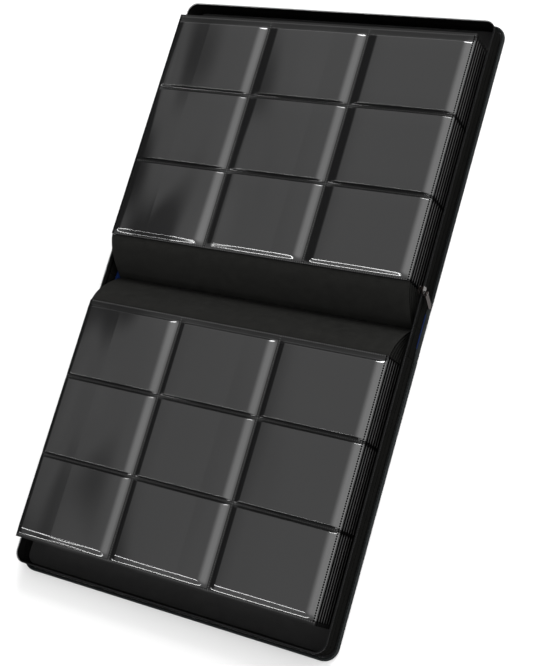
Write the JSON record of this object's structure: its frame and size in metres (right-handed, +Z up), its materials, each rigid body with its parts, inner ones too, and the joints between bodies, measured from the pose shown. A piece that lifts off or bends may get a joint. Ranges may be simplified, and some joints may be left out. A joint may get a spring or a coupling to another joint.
{
  "type": "zip-around pocket album",
  "caption": "Black zip-around album with soft covers and gusset walls, lying open, with clear-film pocket leaves on both sides of the spine.",
  "frame": {"origin": "middle of the spine, on the plane that the open album rests on", "axes": "+X towards the front cover, +Y along the spine to the end without the slider, +Z up out of the open album"},
  "size_m": [0.6, 0.3462, 0.046],
  "materials": {
    "case_fabric": "woven, matt, near black",
    "lining_fabric": "smooth lining, near black",
    "edge_fabric": "woven binding, blue grey",
    "zip_tape": "ribbed tape, charcoal",
    "zip_coil": "nylon coil",
    "slider_metal": "satin gunmetal with a warm tint",
    "leaf_black": "satin black sheet",
    "gutter_fabric": "fine matt weave",
    "pocket_film": "clear film over black, glossy",
    "blue_fabric": "plain weave, blue"
  },
  "bodies": {
    "spine": {"spine_panel": "case_fabric", "spine_edge_right": "edge_fabric", "spine_edge_left": "edge_fabric", "spine_strip": "blue_fabric", "front_fold": "case_fabric", "back_fold": "case_fabric", "gusset_right_front": "zip_tape", "gusset_right_back": "zip_tape", "gusset_left_front": "zip_tape", "gusset_left_back": "zip_tape", "front_gutter_1": "gutter_fabric", "front_gutter_2": "gutter_fabric", "front_gutter_3": "gutter_fabric", "front_gutter_4": "gutter_fabric", "front_gutter_5": "gutter_fabric", "front_gutter_6": "gutter_fabric", "front_gutter_7": "gutter_fabric", "back_gutter_1": "gutter_fabric", "back_gutter_2": "gutter_fabric", "back_gutter_3": "gutter_fabric", "back_gutter_4": "gutter_fabric", "back_gutter_5": "gutter_fabric", "back_gutter_6": "gutter_fabric", "back_gutter_7": "gutter_fabric"},
    "front_case": {"front_cover": "case_fabric", "front_edge_binding": "edge_fabric", "front_lining": "lining_fabric", "front_wall": "case_fabric", "front_zip_tape": "zip_tape", "front_zip_coil": "zip_coil"},
    "back_case": {"back_cover": "case_fabric", "back_edge_binding": "edge_fabric", "back_lining": "lining_fabric", "back_wall": "case_fabric", "back_zip_tape": "zip_tape", "back_zip_coil": "zip_coil"},
    "front_page_1": {"front_leaf_1": "leaf_black"},
    "front_page_2": {"front_leaf_2": "leaf_black"},
    "front_page_3": {"front_leaf_3": "leaf_black"},
    "front_page_4": {"front_leaf_4": "leaf_black"},
    "front_page_5": {"front_leaf_5": "leaf_black"},
    "front_page_6": {"front_leaf_6": "leaf_black"},
    "front_page_7": {"front_leaf_7": "leaf_black", "front_pocket_film": "pocket_film"},
    "back_page_1": {"back_leaf_1": "leaf_black"},
    "back_page_2": {"back_leaf_2": "leaf_black"},
    "back_page_3": {"back_leaf_3": "leaf_black"},
    "back_page_4": {"back_leaf_4": "leaf_black"},
    "back_page_5": {"back_leaf_5": "leaf_black"},
    "back_page_6": {"back_leaf_6": "leaf_black"},
    "back_page_7": {"back_leaf_7": "leaf_black", "back_pocket_film": "pocket_film"},
    "slider": {"zip_slider": "slider_metal"},
    "pull": {"pull_tab": "slider_metal"}
  },
  "joints": [
    {"name": "front_cover_fold", "type": "hinge", "parent": "spine", "child": "front_case", "pos_m": [0.024, 0, 0.0005], "axis": [0, -1, 0], "range_deg": [0, 90], "deforming": ["front_fold", "gusset_right_front", "gusset_left_front"]},
    {"name": "back_cover_fold", "type": "hinge", "parent": "spine", "child": "back_case", "pos_m": [-0.024, 0, 0.0005], "axis": [0, 1, 0], "range_deg": [0, 90], "deforming": ["back_fold", "gusset_right_back", "gusset_left_back"]},
    {"name": "front_leaf_1_fold", "type": "hinge", "parent": "spine", "child": "front_page_1", "pos_m": [0.01555, 0, 0.01105], "axis": [0, -1, 0], "range_deg": [0, 90], "deforming": ["front_gutter_1"]},
    {"name": "front_leaf_2_fold", "type": "hinge", "parent": "spine", "child": "front_page_2", "pos_m": [0.01701, 0, 0.01251], "axis": [0, -1, 0], "range_deg": [0, 90], "deforming": ["front_gutter_2"]},
    {"name": "front_leaf_3_fold", "type": "hinge", "parent": "spine", "child": "front_page_3", "pos_m": [0.01847, 0, 0.01397], "axis": [0, -1, 0], "range_deg": [0, 90], "deforming": ["front_gutter_3"]},
    {"name": "front_leaf_4_fold", "type": "hinge", "parent": "spine", "child": "front_page_4", "pos_m": [0.01993, 0, 0.01543], "axis": [0, -1, 0], "range_deg": [0, 90], "deforming": ["front_gutter_4"]},
    {"name": "front_leaf_5_fold", "type": "hinge", "parent": "spine", "child": "front_page_5", "pos_m": [0.02139, 0, 0.01689], "axis": [0, -1, 0], "range_deg": [0, 90], "deforming": ["front_gutter_5"]},
    {"name": "front_leaf_6_fold", "type": "hinge", "parent": "spine", "child": "front_page_6", "pos_m": [0.02285, 0, 0.01835], "axis": [0, -1, 0], "range_deg": [0, 90], "deforming": ["front_gutter_6"]},
    {"name": "front_leaf_7_turn", "type": "hinge", "parent": "front_page_6", "child": "front_page_7", "pos_m": [0, 0, 0.0453], "axis": [0, 1, 0], "range_deg": [-180, 0], "deforming": ["front_gutter_7", "front_pocket_film"]},
    {"name": "back_leaf_1_fold", "type": "hinge", "parent": "spine", "child": "back_page_1", "pos_m": [-0.01555, 0, 0.01105], "axis": [0, 1, 0], "range_deg": [0, 90], "deforming": ["back_gutter_1"]},
    {"name": "back_leaf_2_fold", "type": "hinge", "parent": "spine", "child": "back_page_2", "pos_m": [-0.01701, 0, 0.01251], "axis": [0, 1, 0], "range_deg": [0, 90], "deforming": ["back_gutter_2"]},
    {"name": "back_leaf_3_fold", "type": "hinge", "parent": "spine", "child": "back_page_3", "pos_m": [-0.01847, 0, 0.01397], "axis": [0, 1, 0], "range_deg": [0, 90], "deforming": ["back_gutter_3"]},
    {"name": "back_leaf_4_fold", "type": "hinge", "parent": "spine", "child": "back_page_4", "pos_m": [-0.01993, 0, 0.01543], "axis": [0, 1, 0], "range_deg": [0, 90], "deforming": ["back_gutter_4"]},
    {"name": "back_leaf_5_fold", "type": "hinge", "parent": "spine", "child": "back_page_5", "pos_m": [-0.02139, 0, 0.01689], "axis": [0, 1, 0], "range_deg": [0, 90], "deforming": ["back_gutter_5"]},
    {"name": "back_leaf_6_fold", "type": "hinge", "parent": "spine", "child": "back_page_6", "pos_m": [-0.02285, 0, 0.01835], "axis": [0, 1, 0], "range_deg": [0, 90], "deforming": ["back_gutter_6"]},
    {"name": "back_leaf_7_turn", "type": "hinge", "parent": "back_page_6", "child": "back_page_7", "pos_m": [0, 0, 0.0453], "axis": [0, -1, 0], "range_deg": [-180, 0], "deforming": ["back_gutter_7", "back_pocket_film"]},
    {"name": "slider_slide", "type": "slide", "parent": "front_case", "child": "slider", "axis": [1, 0, 0], "range_m": [0, 0.235]},
    {"name": "pull_swing", "type": "hinge", "parent": "slider", "child": "pull", "pos_m": [0.03, -0.1717, 0.02315], "axis": [0.7547, -0.1364, -0.6417], "range_deg": [-150, 8]}
  ],
  "couplings": [
    {"joint": "front_leaf_1_fold", "follows": "front_cover_fold", "ratio": 1},
    {"joint": "front_leaf_2_fold", "follows": "front_cover_fold", "ratio": 1},
    {"joint": "front_leaf_3_fold", "follows": "front_cover_fold", "ratio": 1},
    {"joint": "front_leaf_4_fold", "follows": "front_cover_fold", "ratio": 1},
    {"joint": "front_leaf_5_fold", "follows": "front_cover_fold", "ratio": 1},
    {"joint": "front_leaf_6_fold", "follows": "front_cover_fold", "ratio": 1},
    {"joint": "back_leaf_1_fold", "follows": "back_cover_fold", "ratio": 1},
    {"joint": "back_leaf_2_fold", "follows": "back_cover_fold", "ratio": 1},
    {"joint": "back_leaf_3_fold", "follows": "back_cover_fold", "ratio": 1},
    {"joint": "back_leaf_4_fold", "follows": "back_cover_fold", "ratio": 1},
    {"joint": "back_leaf_5_fold", "follows": "back_cover_fold", "ratio": 1},
    {"joint": "back_leaf_6_fold", "follows": "back_cover_fold", "ratio": 1}
  ]
}
